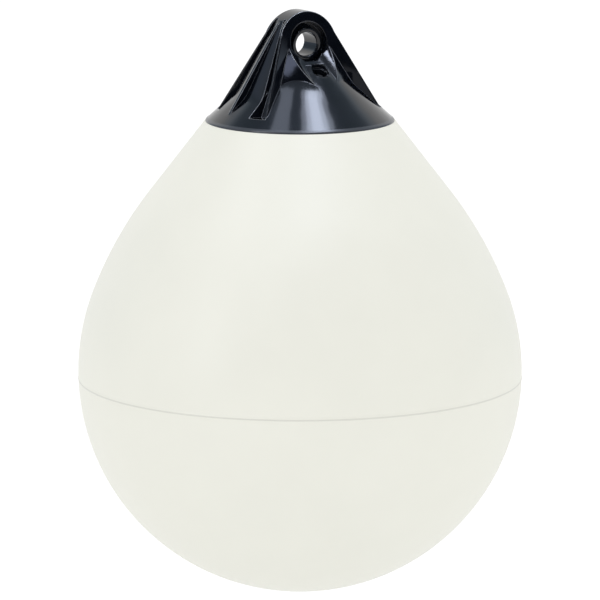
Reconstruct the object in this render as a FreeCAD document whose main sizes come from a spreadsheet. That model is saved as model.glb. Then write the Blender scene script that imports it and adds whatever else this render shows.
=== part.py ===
import FreeCAD, Part
import os
import re

import Sketcher

# Ball fender: an air-filled vinyl ball moulded under a ribbed rope-eye cap.
# The origin is the centre of the rope eye, +Z is up and the eye's bore runs along Y.

doc = FreeCAD.newDocument("BallFender")

# Driving dimensions, in millimetres and degrees

SIZES = [
    ("ball_radius", 260.35, "Radius of the round lower part of the ball"),
    ("shoulder_radius", 470.0, "Profile radius where the ball draws in towards its neck"),
    ("shoulder_start", 21.0, "Lean of the ball's side where that radius starts"),
    ("neck_angle", 37.7, "Lean of the ball's straight cone below the cap, from upright"),
    ("ball_wall", 3.2, "Vinyl wall of the ball"),
    ("seam_drop", 7.0, "Parting line of the mould below the ball's centre"),
    ("seam_height", 0.4, "How far the parting line stands proud"),
    ("seam_width", 1.6, "Width of the parting line at its foot"),
    ("rim_radius", 110.0, "Radius of the cap's rim"),
    ("rim_drop", 89.5, "Top edge of the rim below the eye's centre"),
    ("rim_edge", 3.0, "Height of the rim's upright edge"),
    ("rim_show", 1.5, "Part of that edge that stands above the vinyl"),
    ("rim_ledge", 1.0, "Vinyl ledge outside the rim"),
    ("rim_round", 2.0, "Rounding of the rim's edge"),
    ("seat_width", 5.0, "Flat ring that the rim sits on"),
    ("seat_angle", 24.0, "Slope of the ball's shoulder under the cap, from level"),
    ("seat_crest", 16.0, "Radius of the level top of that shoulder"),
    ("seat_wall", 5.0, "Vinyl wall under the cap"),
    ("key_inner", 48.0, "Inner radius of the dovetail ring that ties cap and ball"),
    ("key_outer", 57.0, "Outer radius of the dovetail ring"),
    ("key_rise", 7.0, "Height of the dovetail ring"),
    ("key_flare", 1.5, "Undercut of the dovetail ring on each side"),
    ("skirt_angle", 41.5, "Slope of the cap's skirt, from level"),
    ("skirt_top", 33.5, "Radius where the skirt's slope ends, inside the hub"),
    ("crown_radius", 38.5, "Rounded top of the cap, about the eye"),
    ("crown_half", 20.5, "Half the thickness of the crown at the eye"),
    ("crown_taper", 11.1, "Lean of the crown's faces"),
    ("crown_flank", 20.0, "Lean of the crown's flanks, from upright"),
    ("crown_foot", 24.0, "Bottom of the crown's body below the eye"),
    ("crown_round", 1.6, "Rounding of the crown's edges"),
    ("eye_radius", 14.0, "Radius of the rope eye"),
    ("eye_lip", 2.0, "Rounding of the eye's mouths"),
    ("boss_radius", 18.5, "Ring round the eye"),
    ("boss_half", 15.5, "Half the length of that ring"),
    ("pocket_side", 24.3, "Half the width of the pocket round the eye"),
    ("pocket_lift", 3.0, "Centre of the pocket's round top above the eye"),
    ("pocket_hip", 2.8, "Where the pocket's sides turn in, below the eye"),
    ("pocket_sill", 8.7, "Half the width of the pocket's bottom edge"),
    ("pocket_drop", 19.3, "Bottom edge of the pocket below the eye"),
    ("pocket_depth", 9.5, "Depth of the pocket"),
    ("hub_top", 4.0, "Top of the hub above the eye's centre"),
    ("hub_middle", 22.0, "Middle of the hub below the eye's centre"),
    ("hub_foot", 50.0, "Foot of the hub below the eye's centre, inside the skirt"),
    ("horn_left_top", 26.5, "Left horn's ridge from the middle line, at the hub's top"),
    ("horn_left_middle", 23.6, "The same at the hub's middle"),
    ("horn_left_foot", 4.9, "The same at the hub's foot"),
    ("horn_right_top", 26.0, "Right horn's ridge from the middle line, at the hub's top"),
    ("horn_right_middle", 25.5, "The same at the hub's middle"),
    ("horn_right_foot", 16.5, "The same at the hub's foot"),
    ("ridge_top", 15.5, "How far both ridges stand out from the middle plane, at the hub's top"),
    ("ridge_left_middle", 37.9, "How far the left ridge stands out, at the hub's middle"),
    ("ridge_left_foot", 62.1, "The same at the hub's foot"),
    ("ridge_right_middle", 36.5, "How far the right ridge stands out, at the hub's middle"),
    ("ridge_right_foot", 58.4, "The same at the hub's foot"),
    ("facet_side_top", 27.5, "Outer end of a facet from the middle line, at the hub's top"),
    ("facet_side_middle", 48.0, "The same at the hub's middle"),
    ("facet_side_foot", 62.0, "The same at the hub's foot"),
    ("facet_turn_top", 40.0, "Direction of the facets in plan, at the hub's top"),
    ("facet_turn_middle", 39.0, "The same at the hub's middle"),
    ("facet_turn_foot", 30.0, "The same at the hub's foot"),
    ("scoop_radius", 41.5, "Hollow between the two horns"),
    ("web_inset", 1.3, "Web surface inside the crown's curve"),
    ("web_lean", 28.8, "Lean of the web between the ribs, from upright"),
    ("web_blend", 45.0, "Hollow that runs the web out into the skirt"),
    ("web_top", 26.5, "Top of the web above the eye"),
    ("web_recess", 40.0, "Sector where the web lies below the crown's curve"),
    ("web_half", 14.0, "Half the width of the web at the eye's height"),
    ("web_flare", 15.1, "Lean of the web's sides"),
    ("web_sector", 48.0, "Sector that the web is swept through before its sides are cut"),
    ("web_core", 20.0, "Radius inside the hub where the web starts"),
    ("web_sink", 6.0, "Web below the skirt's surface"),
    ("rib_reach", 96.0, "Radius of the middle rib's tip"),
    ("rib_sink", 4.0, "Rib below the skirt's surface"),
    ("rib_width", 4.0, "Thickness of the middle rib"),
    ("fin_reach", 94.3, "Radius of an outer fin's tip"),
    ("fin_bearing", 35.5, "Bearing of an outer fin's tip from the middle rib"),
    ("fin_turn", 31.0, "Direction of a fin at its foot, in plan"),
    ("fin_length", 60.0, "Length of a fin at its foot"),
    ("fin_width", 3.5, "Thickness of an outer fin"),
    ("fin_top", 18.0, "Top of the fins above the eye"),
    ("fin_sink", 4.5, "Fins below the skirt's surface"),
    ("fin_inset", 0.6, "Fins inside the crown where they start"),
    ("fin_nose", 1.2, "Rounding of the fins' edges"),
    ("fin_root", 15.0, "Inner end of a fin at its top"),
    ("slot_top", 30.0, "Top of the slots above the eye"),
    ("slot_floor", 77.5, "Floor of the slots below the eye"),
    ("slot_inner", 73.0, "Back of a slot at its floor"),
    ("slot_fin_back", 66.6, "Back of a slot at its floor, beside the fin"),
    ("slot_head", 24.4, "Back of a slot at its top"),
    ("slot_shoulder", 27.3, "Back of a slot where the fins start"),
    ("slot_wall", 3.8, "Wall that a slot leaves where the fins start"),
    ("slot_waist", 5.0, "Height above the eye where a slot's back turns"),
    ("slot_neck", 28.5, "Back of a slot at that height"),
    ("valve_offset", 26.7, "Distance of the valve's seat on the shoulder from the centre line"),
    ("valve_bearing", 5.2, "Bearing of the valve from the front"),
    ("valve_hole", 8.5, "Radius of the hole over the valve"),
    ("valve_face", 29.3, "Level face round the hole above the ball's shoulder"),
    ("valve_spot", 11.0, "Radius of that face"),
    ("valve_body_radius", 8.0, "Outer radius of the valve's sleeve"),
    ("valve_rise", 20.0, "Sleeve above the ball's shoulder"),
    ("valve_tail", 8.5, "Sleeve below the ball's shoulder"),
    ("collar_radius", 10.0, "Collar of the sleeve inside the vinyl"),
    ("collar_low", 3.6, "Lower side of the collar below the shoulder"),
    ("collar_high", 1.6, "Upper side of the collar below the shoulder"),
    ("valve_bore", 4.5, "Radius of the sleeve's threaded bore"),
    ("valve_bore_depth", 16.0, "Depth of the threaded bore"),
    ("valve_port", 2.0, "Radius of the air port below it"),
    ("seal_radius", 6.6, "Outer radius of the sealing washer"),
    ("seal_height", 1.2, "Thickness of the sealing washer"),
    ("screw_head", 6.6, "Radius of the valve screw's head"),
    ("screw_head_height", 3.2, "Height of the head"),
    ("screw_reach", 12.0, "Length of the screw below its head"),
    ("screw_slot", 1.8, "Width of the slot in the head"),
    ("screw_slot_depth", 1.6, "Depth of that slot"),
    ("screw_chamfer", 0.6, "Chamfers of the screw"),
    ("screw_gap", 0.1, "Clearance of the screw in its bore"),
]

sheet = doc.addObject("Spreadsheet::Sheet", "Sizes")
for row, (alias, value, note) in enumerate(SIZES, start=1):
    sheet.set(f"A{row}", note)
    sheet.set(f"B{row}", str(value))
    sheet.setAlias(f"B{row}", alias)
doc.recompute()


def bound(text):
    """Expression for an object, from one written with the sheet's names.

    Each of those names holds an underscore.
    """
    return re.sub(r"\b[a-z]+(?:_[a-z]+)+\b", lambda name: f"Sizes.{name.group()}", text)


def size(text):
    """Number that an expression on the sheet's names gives."""
    value = sheet.evalExpression(bound(text))
    return float(getattr(value, "Value", value))


# Derived places, as expressions on the sheet


def skirt(radius):
    """Height of the skirt's surface at a radius."""
    return f"(-rim_drop + (rim_radius - {radius}) * tan(skirt_angle))"


def seat(radius):
    """Height of the ball's shoulder, which the cap sits on, at a radius."""
    return f"(-rim_drop - rim_edge + (rim_radius - seat_width - {radius}) * tan(seat_angle))"


RIM_TOP = "(-rim_drop)"
RIM_FOOT = "(-rim_drop - rim_edge)"
SEAT_RIM = "(rim_radius - seat_width)"
KEY_TOP = f"({seat('key_inner')} + key_rise)"
SEAT_TOP = seat("seat_crest")

SKIN_RADIUS = "(rim_radius + rim_ledge)"
SKIN_TOP = "(-rim_drop - rim_show)"
SHOULDER_R = "((ball_radius - shoulder_radius) * cos(shoulder_start))"
SHOULDER_Z = "((ball_radius - shoulder_radius) * sin(shoulder_start))"
NECK_R = f"({SHOULDER_R} + shoulder_radius * cos(neck_angle))"
NECK_Z = f"({SHOULDER_Z} + shoulder_radius * sin(neck_angle))"
BALL_Z = f"({SKIN_TOP} - {NECK_Z} - ({NECK_R} - {SKIN_RADIUS}) / tan(neck_angle))"


def seat_corners():
    """Corners of the joint between cap and ball, from the rim inwards to the centre line."""
    return [
        ("rim_radius", RIM_FOOT),
        (SEAT_RIM, RIM_FOOT),
        ("key_outer", seat("key_outer")),
        ("key_outer + key_flare", KEY_TOP),
        ("key_inner - key_flare", KEY_TOP),
        ("key_inner", seat("key_inner")),
        ("seat_crest", SEAT_TOP),
        ("0", SEAT_TOP),
    ]


# Drawing


def new_body(label):
    """Body with its name."""
    body = doc.addObject("PartDesign::Body", label)
    body.Label = label
    return body


def new_sketch(body, label, role, offset=None):
    """Sketch on one of the body's origin planes, moved by an offset given as an expression."""
    plane = next(item for item in body.Origin.OriginFeatures if item.Role == role)
    sketch = body.newObject("Sketcher::SketchObject", label)
    sketch.AttachmentSupport = [(plane, "")]
    sketch.MapMode = "FlatFace"
    if offset:
        sketch.setExpression("AttachmentOffset", bound(offset))
    return sketch


def tie(sketch, kind, index, place, text):
    """Distance of a point from the sketch's origin, bound to an expression."""
    number = sketch.addConstraint(Sketcher.Constraint(kind, -1, 1, index, place, size(text)))
    name = f"{kind[-1].lower()}_{index}_{place}"
    sketch.renameConstraint(number, name)
    sketch.setExpression(f"Constraints.{name}", bound(text))


def outline(sketch, corners, arcs=None):
    """Closed outline through corners, each an (x, y) pair of expressions.

    arcs gives, for a side's number, its radius and the hand that its centre is on when the
    side is walked from its corner to the next: 1 for left, -1 for right.
    """
    arcs = arcs or {}
    points = [FreeCAD.Vector(size(x), size(y), 0) for x, y in corners]
    ends = []
    for index, (start, end) in enumerate(zip(points, points[1:] + points[:1])):
        if index not in arcs:
            sketch.addGeometry(Part.LineSegment(start, end), False)
            ends.append((1, 2))
            continue
        radius, hand = arcs[index]
        chord = end - start
        across = FreeCAD.Vector(-chord.y, chord.x, 0).normalize() * hand
        rise = (size(radius) ** 2 - (chord.Length / 2) ** 2) ** 0.5
        centre = start + chord / 2 + across * rise
        middle = centre - across * size(radius)
        if hand > 0:
            sketch.addGeometry(Part.Arc(start, middle, end), False)
            ends.append((1, 2))
        else:
            sketch.addGeometry(Part.Arc(end, middle, start), False)
            ends.append((2, 1))
    count = len(corners)
    for index in range(count):
        following = (index + 1) % count
        sketch.addConstraint(
            Sketcher.Constraint("Coincident", index, ends[index][1], following, ends[following][0])
        )
    for index, (radius, _) in arcs.items():
        number = sketch.addConstraint(Sketcher.Constraint("Radius", index, size(radius)))
        sketch.renameConstraint(number, f"radius_{index}")
        sketch.setExpression(f"Constraints.radius_{index}", bound(radius))
    for index, (x, y) in enumerate(corners):
        tie(sketch, "DistanceX", index, ends[index][0], x)
        tie(sketch, "DistanceY", index, ends[index][0], y)


def circle(sketch, x, y, radius):
    """Circle with its centre and radius bound to expressions."""
    centre = FreeCAD.Vector(size(x), size(y), 0)
    index = sketch.addGeometry(Part.Circle(centre, FreeCAD.Vector(0, 0, 1), size(radius)), False)
    tie(sketch, "DistanceX", index, 3, x)
    tie(sketch, "DistanceY", index, 3, y)
    number = sketch.addConstraint(Sketcher.Constraint("Radius", index, size(radius)))
    sketch.renameConstraint(number, "radius")
    sketch.setExpression("Constraints.radius", bound(radius))


def turned(body, label, sketch, kind="Revolution", angle=None):
    """Revolution, or Groove, of a sketch about its own upright axis."""
    feature = body.newObject(f"PartDesign::{kind}", label)
    feature.Profile = sketch
    feature.ReferenceAxis = (sketch, ["V_Axis"])
    feature.Angle = 360
    if angle:
        feature.Midplane = True
        feature.setExpression("Angle", bound(angle))
    body.Tip = feature
    return feature


def pushed(body, label, sketch, kind, length, both=True):
    """Pad or Pocket of a sketch, by a length given as an expression."""
    feature = body.newObject(f"PartDesign::{kind}", label)
    feature.Profile = sketch
    feature.Midplane = both
    feature.setExpression("Length", bound(length))
    body.Tip = feature
    return feature


def lofted(body, label, sketches, kind, ruled=True):
    """Loft through sketches, added or cut."""
    feature = body.newObject(f"PartDesign::{kind}Loft", label)
    feature.Profile = sketches[0]
    feature.Sections = sketches[1:]
    feature.Ruled = ruled
    body.Tip = feature
    return feature


# How near an edge must lie, in millimetres, to where a fillet looks for it
SURE = 1e-3


def rounded(body, label, radius, wanted):
    """Fillet of the edges of the body's last feature that a test picks."""
    base = body.Tip
    names = [f"Edge{number}" for number, edge in enumerate(base.Shape.Edges, start=1) if wanted(edge)]
    if not names:
        raise RuntimeError(f"{label} has no edge to round")
    feature = body.newObject("PartDesign::Fillet", label)
    feature.Base = (base, names)
    feature.setExpression("Radius", bound(radius))
    body.Tip = feature
    return feature


# Ball


def build_ball():
    """Hollow ball: wall, parting line, and the shoulder with its dovetail ring under the cap."""
    body = new_body("ball_body")
    section = new_sketch(body, "BallSection", "XZ_Plane")

    def on_ball(height):
        return f"sqrt(ball_radius^2 - ({height})^2)"

    low = "(-seam_drop - seam_width / 2)"
    high = "(-seam_drop + seam_width / 2)"
    outer = [
        ("0", f"{BALL_Z} - ball_radius"),
        (on_ball(low), f"{BALL_Z} + {low}"),
        (f"{on_ball('-seam_drop')} + seam_height", f"{BALL_Z} - seam_drop"),
        (on_ball(high), f"{BALL_Z} + {high}"),
        ("ball_radius * cos(shoulder_start)", f"{BALL_Z} + ball_radius * sin(shoulder_start)"),
        (NECK_R, f"{BALL_Z} + {NECK_Z}"),
        (SKIN_RADIUS, SKIN_TOP),
        ("rim_radius", SKIN_TOP),
    ]
    inner_radius = "(ball_radius - ball_wall)"
    inner_shoulder = "(shoulder_radius - ball_wall)"
    under = "(seat_wall / cos(seat_angle))"
    cone_r = f"({SKIN_RADIUS} - ball_wall * cos(neck_angle))"
    cone_z = f"({SKIN_TOP} - ball_wall * sin(neck_angle))"
    seat_zero = f"({seat('0')} - {under})"
    meet_r = (
        f"(({cone_r} + ({cone_z} - {seat_zero}) * tan(neck_angle))"
        " / (1 - tan(seat_angle) * tan(neck_angle)))"
    )
    inner = [
        ("0", f"{SEAT_TOP} - {under}"),
        ("seat_crest", f"{SEAT_TOP} - {under}"),
        (meet_r, f"{seat(meet_r)} - {under}"),
        (
            f"{SHOULDER_R} + {inner_shoulder} * cos(neck_angle)",
            f"{BALL_Z} + {SHOULDER_Z} + {inner_shoulder} * sin(neck_angle)",
        ),
        (f"{inner_radius} * cos(shoulder_start)", f"{BALL_Z} + {inner_radius} * sin(shoulder_start)"),
        ("0", f"{BALL_Z} - {inner_radius}"),
    ]
    corners = outer + seat_corners() + inner
    first_inner = len(outer) + len(seat_corners())
    arcs = {
        0: ("ball_radius", 1),
        3: ("ball_radius", 1),
        4: ("shoulder_radius", 1),
        first_inner + 3: (inner_shoulder, -1),
        first_inner + 4: (inner_radius, -1),
    }
    outline(section, corners, arcs)
    turned(body, "BallShell", section)
    doc.recompute()
    hole = new_sketch(body, "ValvePassage", "XZ_Plane", VALVE_PLANE)
    outline(hole, sleeve_outline("0", "valve_tail + seat_wall"))
    turned(body, "ValvePassageCut", hole, "Groove")
    return body


# Valve, on its own axis: square to the shoulder, with the shoulder at height 0

VALVE_X = "valve_offset * sin(valve_bearing)"
VALVE_DEPTH = "valve_offset * cos(valve_bearing)"
VALVE_FOOT = f"vector({VALVE_X}; {seat('valve_offset')}; {VALVE_DEPTH})"
VALVE_PLANE = f"placement({VALVE_FOOT}; rotation(0; valve_bearing; seat_angle))"
SLEEVE_TOP = "valve_rise"


def sleeve_outline(inner, tail):
    """Outer form of the sleeve, with the collar that the vinyl grips, out from an inner radius."""
    return [
        (inner, f"-({tail})"),
        ("valve_body_radius", f"-({tail})"),
        ("valve_body_radius", "-collar_low"),
        ("collar_radius", "-collar_low"),
        ("collar_radius", "-collar_high"),
        ("valve_body_radius", "-collar_high"),
        ("valve_body_radius", SLEEVE_TOP),
        (inner, SLEEVE_TOP),
    ]


def build_valve_body():
    """Sleeve of the valve, with its threaded bore as a plain cylinder and the air port below it."""
    body = new_body("valve_body")
    section = new_sketch(body, "SleeveSection", "XZ_Plane", VALVE_PLANE)
    bore_floor = f"({SLEEVE_TOP} - valve_bore_depth)"
    corners = sleeve_outline("valve_port", "valve_tail")[:-1]
    corners += [
        ("valve_bore", SLEEVE_TOP),
        ("valve_bore", bore_floor),
        ("valve_port", bore_floor),
    ]
    outline(section, corners)
    turned(body, "Sleeve", section)
    return body


def build_valve_seal():
    """Washer between the sleeve's top and the screw's head."""
    body = new_body("valve_seal")
    section = new_sketch(body, "SealSection", "XZ_Plane", VALVE_PLANE)
    top = f"({SLEEVE_TOP} + seal_height)"
    outline(section, [
        ("valve_bore", SLEEVE_TOP),
        ("seal_radius", SLEEVE_TOP),
        ("seal_radius", top),
        ("valve_bore", top),
    ])
    turned(body, "Seal", section)
    return body


def build_valve_screw():
    """Slotted screw that closes the valve."""
    body = new_body("valve_screw")
    section = new_sketch(body, "ScrewSection", "XZ_Plane", VALVE_PLANE)
    under = f"({SLEEVE_TOP} + seal_height)"
    top = f"({under} + screw_head_height)"
    shank = "(valve_bore - screw_gap)"
    tip = f"({under} - screw_reach)"
    outline(section, [
        ("0", tip),
        (f"{shank} - screw_chamfer", tip),
        (shank, f"{tip} + screw_chamfer"),
        (shank, under),
        ("screw_head", under),
        ("screw_head", f"{top} - screw_chamfer"),
        ("screw_head - screw_chamfer", top),
        ("0", top),
    ])
    turned(body, "Screw", section)
    doc.recompute()
    slot = new_sketch(body, "ScrewSlot", "XZ_Plane", VALVE_PLANE)
    outline(slot, [
        ("-screw_slot / 2", f"{top} - screw_slot_depth"),
        ("screw_slot / 2", f"{top} - screw_slot_depth"),
        ("screw_slot / 2", f"{top} + screw_slot_depth"),
        ("-screw_slot / 2", f"{top} + screw_slot_depth"),
    ])
    pushed(body, "ScrewSlotCut", slot, "Pocket", "screw_head * 3")
    return body


# Cap


def horn_corners(hand, horn, facet):
    """A horn's ridge on the front, and the outer end of the facet that runs back from it."""
    width, reach = horn
    side, turn = facet
    ridge = (f"{hand} * {width}", f"-{reach}")
    end = (f"{hand} * {side}", f"-({reach} - ({side} - {width}) * tan({turn}))")
    return ridge, end


def add_hub(body):
    """Hub under the eye: on each face a scoop between two horns, with a facet outside each horn.

    The back is the front turned half a turn, so the hub is lofted through whole level sections.
    """
    levels = (
        ("Top", "hub_top", ("facet_side_top", "facet_turn_top"),
         ("horn_left_top", "ridge_top"),
         ("horn_right_top", "ridge_top")),
        ("Middle", "-hub_middle", ("facet_side_middle", "facet_turn_middle"),
         ("horn_left_middle", "ridge_left_middle"),
         ("horn_right_middle", "ridge_right_middle")),
        ("Foot", "-hub_foot", ("facet_side_foot", "facet_turn_foot"),
         ("horn_left_foot", "ridge_left_foot"),
         ("horn_right_foot", "ridge_right_foot")),
    )
    sketches = []
    for level, height, facet, left, right in levels:
        left_ridge, left_end = horn_corners(-1, left, facet)
        right_ridge, right_end = horn_corners(1, right, facet)
        half = [left_end, left_ridge, right_ridge, right_end]
        turned_half = [(f"-({x})", f"-({y})") for x, y in half]
        sketch = new_sketch(body, f"Hub{level}", "XY_Plane", lifted(height))
        outline(sketch, half + turned_half, {1: ("scoop_radius", -1), 5: ("scoop_radius", -1)})
        sketches.append(sketch)
    lofted(body, "Hub", sketches, "Additive", ruled=False)


def place_name(face, hand):
    """Name of a quarter of the cap: face is -1 at the front, hand is -1 on the left."""
    return ("Front" if face < 0 else "Back") + ("Left" if hand < 0 else "Right")


def add_skirt(body):
    """Cone of the cap with its rim, whose top edge is rounded."""
    section = new_sketch(body, "SkirtSection", "XZ_Plane")
    run = "(rim_round * tan((90 - skirt_angle) / 2))"
    outline(section, [
        ("0", RIM_FOOT),
        ("rim_radius", RIM_FOOT),
        ("rim_radius", f"{RIM_TOP} - {run}"),
        (f"rim_radius - {run} * cos(skirt_angle)", f"{RIM_TOP} + {run} * sin(skirt_angle)"),
        ("skirt_top", skirt("skirt_top")),
        ("0", skirt("skirt_top")),
    ], {2: ("rim_round", 1)})
    turned(body, "Skirt", section)


def add_crown(body):
    """Body of the eye: a rounded outline with leaning faces, thinner towards its top."""
    hip_x = "crown_radius * cos(crown_flank)"
    hip_z = "crown_radius * sin(crown_flank)"
    flank = f"({hip_x} + ({hip_z} + crown_foot) * tan(crown_flank))"
    front = new_sketch(body, "CrownOutline", "XZ_Plane")
    outline(front, [
        (f"-{flank}", "-crown_foot"),
        (flank, "-crown_foot"),
        (hip_x, hip_z),
        (f"-{hip_x}", hip_z),
    ], {2: ("crown_radius", 1)})
    pushed(body, "Crown", front, "Pad", "crown_half * 4")
    doc.recompute()
    beyond = "crown_radius * 2"
    for face in (-1, 1):
        name = "Front" if face < 0 else "Back"
        side = new_sketch(body, f"CrownTaper{name}", "YZ_Plane")
        outline(side, [
            (f"{face} * {crown_face('crown_foot * -2')}", "-crown_foot * 2"),
            (f"{face} * {beyond}", "-crown_foot * 2"),
            (f"{face} * {beyond}", beyond),
            (f"{face} * {crown_face(beyond)}", beyond),
        ])
        pushed(body, f"CrownTaperCut{name}", side, "Pocket", "crown_radius * 4")
        doc.recompute()
    rounded(body, "CrownEdges", "crown_round", on_crown_curve)


def on_crown_curve(edge):
    """Whether an edge runs along the crown's round top, where it meets a leaning face."""
    if not edge.isClosed() and edge.Curve.TypeId == "Part::GeomLine":
        return False
    middle = edge.valueAt((edge.FirstParameter + edge.LastParameter) / 2)
    return abs((middle.x ** 2 + middle.z ** 2) ** 0.5 - size("crown_radius")) < SURE


def crown_face(height):
    """Distance of the crown's face from the middle plane at a height."""
    return f"(crown_half - ({height}) * tan(crown_taper))"


def web_surface(height):
    """Radius of the web's straight part at a height."""
    return f"((crown_radius - web_inset - ({height}) * sin(web_lean)) / cos(web_lean))"


def cut_recess(body, hand):
    """Take the crown's side back to the web's surface, between the two slots of a wing."""
    name = "Right" if hand > 0 else "Left"
    section = new_sketch(body, f"RecessSection{name}", "XZ_Plane")
    beyond = "crown_radius * 2"
    outline(section, [(f"{hand} * {x}", z) for x, z in [
        (web_surface("-crown_foot"), "-crown_foot"),
        (beyond, "-crown_foot"),
        (beyond, "crown_radius"),
        (web_surface("crown_radius"), "crown_radius"),
    ]])
    turned(body, f"RecessCut{name}", section, "Groove", "web_recess")


def add_web(body, hand):
    """Smooth web of one wing, swept about the centre line and run out into the skirt."""
    crossing = f"(({web_surface(skirt('0'))}) / (1 - tan(web_lean) * tan(skirt_angle)))"
    lay = "(90 - skirt_angle)"
    run = f"(web_blend * tan(({lay} - web_lean) / 2))"
    start = (f"({crossing} - {run} * sin(web_lean))", f"({skirt(crossing)} + {run} * cos(web_lean))")
    end = (f"({crossing} + {run} * sin({lay}))", f"({skirt(crossing)} - {run} * cos({lay}))")
    name = "Right" if hand > 0 else "Left"
    section = new_sketch(body, f"WebSection{name}", "XZ_Plane")
    corners = [
        ("web_core", "web_top"),
        (web_surface("web_top"), "web_top"),
        start,
        end,
        (end[0], f"{end[1]} - web_sink"),
        ("web_core", "-crown_foot"),
    ]
    outline(section, [(f"{hand} * {x}", z) for x, z in corners], {2: ("web_blend", hand)})
    turned(body, f"Web{name}", section, angle="web_sector")


# Places on an outer fin, whose outer edge runs straight from the crown down to the skirt

FIN_TIP_X = "(fin_reach * cos(fin_bearing))"
FIN_TIP_Y = "(fin_reach * sin(fin_bearing))"
FIN_TIP_Z = skirt("fin_reach")
FIN_TOP_X = "(sqrt(crown_radius^2 - fin_top^2) - fin_inset)"
FIN_TOP_Y = f"({crown_face('fin_top')} - fin_inset)"


def fin_share(height):
    """Share of the way down from a fin's top to its tip."""
    return f"((fin_top - ({height})) / (fin_top - {FIN_TIP_Z}))"


def fin_point(height, inner):
    """Outer or inner end of a fin's face at a height."""
    share = fin_share(height)
    top_x = "fin_root" if inner else FIN_TOP_X
    tip_x = f"({FIN_TIP_X} - fin_length * cos(fin_turn))" if inner else FIN_TIP_X
    tip_y = f"({FIN_TIP_Y} - fin_length * sin(fin_turn))" if inner else FIN_TIP_Y
    x = f"({top_x} + ({tip_x} - {top_x}) * {share})"
    y = f"({FIN_TOP_Y} + ({tip_y} - {FIN_TOP_Y}) * {share})"
    return x, y


def fin_middle(height, x):
    """Distance from the middle plane of a point halfway through a fin, at a height and an x."""
    outer_x, outer_y = fin_point(height, False)
    inner_x, inner_y = fin_point(height, True)
    slope = f"(({outer_y} - {inner_y}) / ({outer_x} - {inner_x}))"
    turn = f"(fin_turn * {fin_share(height)})"
    return f"({outer_y} - ({outer_x} - {x}) * {slope} - fin_width / 2 / cos({turn}))"


def add_fin(body, face, hand):
    """Thin outer fin, lofted from the crown's edge to below the skirt, with a rounded outer edge."""
    name = place_name(face, hand)
    foot = f"({FIN_TIP_Z} - fin_sink)"
    sketches = []
    for level, height in (("Foot", foot), ("Top", "fin_top")):
        turn = f"(fin_turn * {fin_share(height)})"
        outer_x, outer_y = fin_point(height, False)
        inner_x, inner_y = fin_point(height, True)

        def from_tip(back, across):
            """Point that lies back from the fin's outer corner along its face, and across it."""
            x = f"({outer_x} - {back} * cos({turn}) + {across} * sin({turn}))"
            y = f"({outer_y} - {back} * sin({turn}) - {across} * cos({turn}))"
            return x, y

        corners = [
            (inner_x, inner_y),
            from_tip("fin_nose", "0"),
            from_tip("0", "fin_nose"),
            from_tip("0", "(fin_width - fin_nose)"),
            from_tip("fin_nose", "fin_width"),
            (f"({inner_x} + fin_width * sin({turn}))", f"({inner_y} - fin_width * cos({turn}))"),
        ]
        sketch = new_sketch(body, f"Fin{level}{name}", "XY_Plane", lifted(height))
        nose = ("fin_nose", -hand * face)
        outline(sketch, [(f"{hand} * {x}", f"{face} * {y}") for x, y in corners], {1: nose, 3: nose})
        sketches.append(sketch)
    lofted(body, f"Fin{name}", sketches, "Additive")


def lifted(height):
    """Offset of a level sketch plane, to a height."""
    return f"placement(vector(0; 0; {height}); rotation(0; 0; 0))"


def add_slot(body, face, hand):
    """Deep slot between the web and an outer fin, with a level floor in the skirt."""
    name = place_name(face, hand)
    head_wall = f"({crown_face('slot_top')} - slot_wall)"
    shoulder_wall = f"({FIN_TOP_Y} - slot_wall)"
    levels = (
        ("Floor", "-slot_floor", "slot_inner", "slot_fin_back", None),
        ("Waist", "slot_waist", "slot_neck", "slot_neck", None),
        ("Shoulder", "fin_top", "slot_shoulder", "slot_shoulder", shoulder_wall),
        ("Top", "slot_top", "slot_head", "slot_head", head_wall),
    )
    sketches = []
    for level, height, back, fin_back, wall in levels:
        side = f"(web_half - {height} * tan(web_flare))"
        corners = [
            (fin_back, wall or fin_middle(height, fin_back)),
            ("rim_radius", wall or fin_middle(height, "rim_radius")),
            ("rim_radius", side),
            (back, side),
        ]
        sketch = new_sketch(body, f"Slot{level}{name}", "XY_Plane", lifted(height))
        outline(sketch, [(f"{hand} * {x}", f"{face} * {y}") for x, y in corners])
        sketches.append(sketch)
    lofted(body, f"Slot{name}", sketches, "Subtractive")


def add_ribs(body):
    """Middle rib of both wings: it follows the crown's curve and runs on straight to the skirt."""
    tip_z = skirt("rib_reach")
    rise = f"(acos(crown_radius / sqrt(rib_reach^2 + {tip_z}^2)) + atan({tip_z} / rib_reach))"
    touch = (f"(crown_radius * cos({rise}))", f"(crown_radius * sin({rise}))")
    foot = ("(rib_reach - rib_sink)", f"({tip_z} - rib_sink)")
    sketch = new_sketch(body, "RibOutline", "XZ_Plane")
    outline(sketch, [
        (f"-{touch[0]}", touch[1]),
        ("-rib_reach", tip_z),
        (f"-{foot[0]}", foot[1]),
        ("0", "-crown_foot"),
        foot,
        ("rib_reach", tip_z),
        touch,
    ], {6: ("crown_radius", 1)})
    pushed(body, "Rib", sketch, "Pad", "rib_width")


def cut_underside(body):
    """Hollow under the cap that the ball's shoulder and its dovetail ring fill."""
    sketch = new_sketch(body, "Underside", "XZ_Plane")
    below = f"({RIM_FOOT} - rim_edge * 4)"
    corners = [(SEAT_RIM, below)] + seat_corners()[1:] + [("0", below)]
    outline(sketch, corners)
    turned(body, "UndersideCut", sketch, "Groove")


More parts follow.
